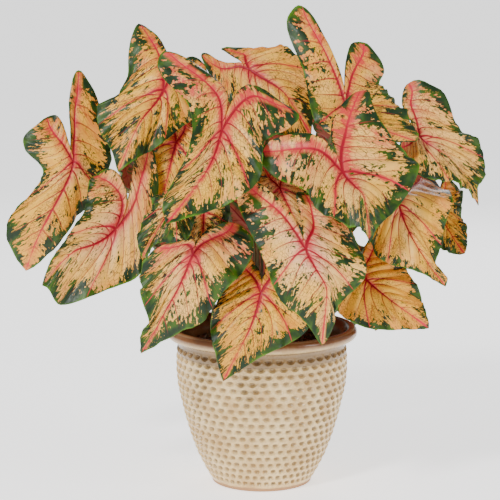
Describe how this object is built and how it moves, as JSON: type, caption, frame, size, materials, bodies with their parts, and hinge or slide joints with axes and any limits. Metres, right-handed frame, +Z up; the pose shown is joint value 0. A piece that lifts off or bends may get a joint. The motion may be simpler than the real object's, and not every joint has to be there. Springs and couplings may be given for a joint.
{
  "type": "potted caladium",
  "caption": "Caladium house plant with pink-veined cream and green arrow-shaped leaves in a dimpled, glazed round pot.",
  "frame": {"origin": "centre of the pot's flat foot", "axes": "+Z up along the pot's axis, -Y toward the side that the picture shows"},
  "size_m": [0.4995, 0.3405, 0.5028],
  "materials": {
    "pot": "glossy",
    "soil": "matte",
    "blade": "satin",
    "stalk": "satin"
  },
  "bodies": {
    "root": {"pot": "pot", "soil": "soil", "top_right_blade": "blade", "top_right_stalk": "stalk", "centre_right_blade": "blade", "centre_right_stalk": "stalk", "centre_blade": "blade", "centre_stalk": "stalk", "upper_left_blade": "blade", "upper_left_stalk": "stalk", "far_left_blade": "blade", "far_left_stalk": "stalk", "lower_left_blade": "blade", "lower_left_stalk": "stalk", "small_front_left_blade": "blade", "small_front_left_stalk": "stalk", "lower_centre_left_blade": "blade", "lower_centre_left_stalk": "stalk", "bottom_centre_blade": "blade", "bottom_centre_stalk": "stalk", "front_right_blade": "blade", "front_right_stalk": "stalk", "lower_right_blade": "blade", "lower_right_stalk": "stalk", "right_blade": "blade", "right_stalk": "stalk", "upper_right_blade": "blade", "upper_right_stalk": "stalk", "small_right_blade": "blade", "small_right_stalk": "stalk", "top_centre_blade": "blade", "top_centre_stalk": "stalk", "inner_left_blade": "blade", "inner_left_stalk": "stalk", "inner_centre_blade": "blade", "inner_centre_stalk": "stalk", "inner_low_blade": "blade", "inner_low_stalk": "stalk", "back_low_right_blade": "blade", "back_low_right_stalk": "stalk", "back_low_far_right_blade": "blade", "back_low_far_right_stalk": "stalk", "back_low_middle_blade": "blade", "back_low_middle_stalk": "stalk", "back_low_far_left_blade": "blade", "back_low_far_left_stalk": "stalk", "back_low_left_blade": "blade", "back_low_left_stalk": "stalk", "back_high_right_blade": "blade", "back_high_right_stalk": "stalk", "back_high_middle_blade": "blade", "back_high_middle_stalk": "stalk", "back_high_left_blade": "blade", "back_high_left_stalk": "stalk", "back_high_far_left_blade": "blade", "back_high_far_left_stalk": "stalk", "back_upper_left_blade": "blade", "back_upper_left_stalk": "stalk", "back_crown_blade": "blade", "back_crown_stalk": "stalk"}
  },
  "joints": []
}
